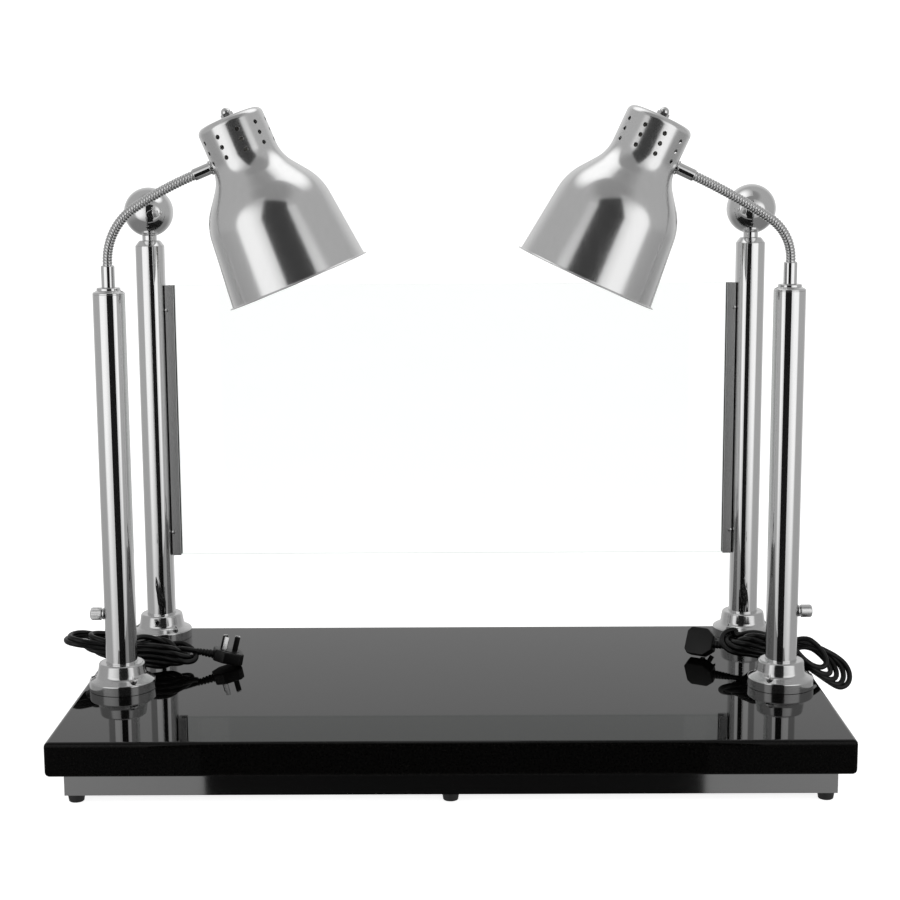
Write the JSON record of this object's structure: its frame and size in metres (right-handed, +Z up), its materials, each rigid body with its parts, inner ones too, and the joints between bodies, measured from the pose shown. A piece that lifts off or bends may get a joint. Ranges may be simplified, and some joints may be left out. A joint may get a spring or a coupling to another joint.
{
  "type": "carving station with heat lamps",
  "caption": "Carving and warming station: polished granite slab on a steel underframe with gooseneck heat lamps on posts and a glass guard between ball-topped posts.",
  "frame": {"origin": "on the surface the feet stand on, under the middle of the slab", "axes": "+X along the slab to the right, -Y toward the serving side in front, +Z up"},
  "size_m": [0.9917, 0.5, 0.777],
  "materials": {
    "polished_granite": "polished black granite with a fine speckle",
    "frame_steel": "polished stainless steel",
    "black_rubber": "moulded matte",
    "gasket_rubber": "extruded, satin",
    "zinc_screws": "machined",
    "clear_glass": "clear, toughened",
    "nickel_trim": "nickel plated",
    "black_tie": "satin",
    "pin_metal": "nickel plated brass",
    "cast_chrome": "polished and plated",
    "chrome_tube": "mirror",
    "chrome_ball": "mirror",
    "channel_steel": "polished stainless steel",
    "black_plastic": "moulded",
    "neck_steel": "wound strip, plated",
    "chrome_shade": "spun and polished",
    "white_ceramic": "glazed",
    "bulb_glass": "frosted face, silvered back",
    "black_cord": "satin sheath"
  },
  "bodies": {
    "root": {"granite_slab": "polished_granite", "frame_front_rail": "frame_steel", "frame_rear_rail": "frame_steel", "frame_left_rail": "frame_steel", "frame_right_rail": "frame_steel", "frame_cross_bars": "frame_steel", "rubber_feet": "black_rubber", "foot_screws": "zinc_screws", "flange_screws": "zinc_screws", "flange_set_screws": "zinc_screws", "glass_pane": "clear_glass", "glass_gaskets": "gasket_rubber", "channel_screws": "zinc_screws", "switch_ring_nuts": "nickel_trim", "cord_ties": "black_tie", "plug_pins": "pin_metal", "left_lamp_base": "cast_chrome", "left_guard_base": "cast_chrome", "left_lamp_post": "chrome_tube", "left_guard_post": "chrome_tube", "left_lamp_post_cap": "chrome_tube", "left_guard_post_cap": "chrome_tube", "left_ball_finial": "chrome_ball", "left_glass_channel": "channel_steel", "left_switch_body": "black_plastic", "left_cord_gland": "gasket_rubber", "left_cord_lead": "black_cord", "left_cord_hank": "black_cord", "left_plug": "black_plastic", "right_lamp_base": "cast_chrome", "right_guard_base": "cast_chrome", "right_lamp_post": "chrome_tube", "right_guard_post": "chrome_tube", "right_lamp_post_cap": "chrome_tube", "right_guard_post_cap": "chrome_tube", "right_ball_finial": "chrome_ball", "right_glass_channel": "channel_steel", "right_switch_body": "black_plastic", "right_cord_gland": "gasket_rubber", "right_cord_lead": "black_cord", "right_cord_hank": "black_cord", "right_plug": "black_plastic"},
    "left_knob": {"left_switch_knob": "nickel_trim"},
    "left_arm": {"left_lower_ferrule": "nickel_trim", "left_neck_lower": "neck_steel"},
    "left_forearm": {"left_neck_upper": "neck_steel"},
    "left_head": {"left_upper_ferrule": "nickel_trim", "left_shade": "chrome_shade", "left_shade_nuts": "nickel_trim", "left_lamp_holder": "white_ceramic", "left_heat_bulb": "bulb_glass"},
    "right_knob": {"right_switch_knob": "nickel_trim"},
    "right_arm": {"right_lower_ferrule": "nickel_trim", "right_neck_lower": "neck_steel"},
    "right_forearm": {"right_neck_upper": "neck_steel"},
    "right_head": {"right_upper_ferrule": "nickel_trim", "right_shade": "chrome_shade", "right_shade_nuts": "nickel_trim", "right_lamp_holder": "white_ceramic", "right_heat_bulb": "bulb_glass"}
  },
  "joints": [
    {"name": "left_switch_turn", "type": "hinge", "parent": "root", "child": "left_knob", "pos_m": [-0.4223, -0.0372, 0.1705], "axis": [-1, 0, 0], "range_deg": [0, 90]},
    {"name": "left_neck_swing", "type": "hinge", "parent": "root", "child": "left_arm", "pos_m": [-0.4033, -0.0372, 0.5675], "axis": [0, 0, 1], "range_deg": [-45, 25]},
    {"name": "left_neck_bend", "type": "hinge", "parent": "left_arm", "child": "left_forearm", "pos_m": [-0.39506, -0.0372, 0.63198], "axis": [0, 1, 0], "range_deg": [-20, 15], "deforming": ["left_neck_lower"]},
    {"name": "left_head_tilt", "type": "hinge", "parent": "left_forearm", "child": "left_head", "pos_m": [-0.33452, -0.0372, 0.68139], "axis": [0, 1, 0], "range_deg": [-25, 25], "deforming": ["left_neck_upper"]},
    {"name": "right_switch_turn", "type": "hinge", "parent": "root", "child": "right_knob", "pos_m": [0.4223, -0.0372, 0.1705], "axis": [1, 0, 0], "range_deg": [0, 90]},
    {"name": "right_neck_swing", "type": "hinge", "parent": "root", "child": "right_arm", "pos_m": [0.4033, -0.0372, 0.5675], "axis": [0, 0, -1], "range_deg": [-45, 25]},
    {"name": "right_neck_bend", "type": "hinge", "parent": "right_arm", "child": "right_forearm", "pos_m": [0.39186, -0.0372, 0.63156], "axis": [0, -1, 0], "range_deg": [-20, 15], "deforming": ["right_neck_lower"]},
    {"name": "right_head_tilt", "type": "hinge", "parent": "right_forearm", "child": "right_head", "pos_m": [0.32465, -0.0372, 0.67616], "axis": [0, -1, 0], "range_deg": [-25, 25], "deforming": ["right_neck_upper"]}
  ]
}
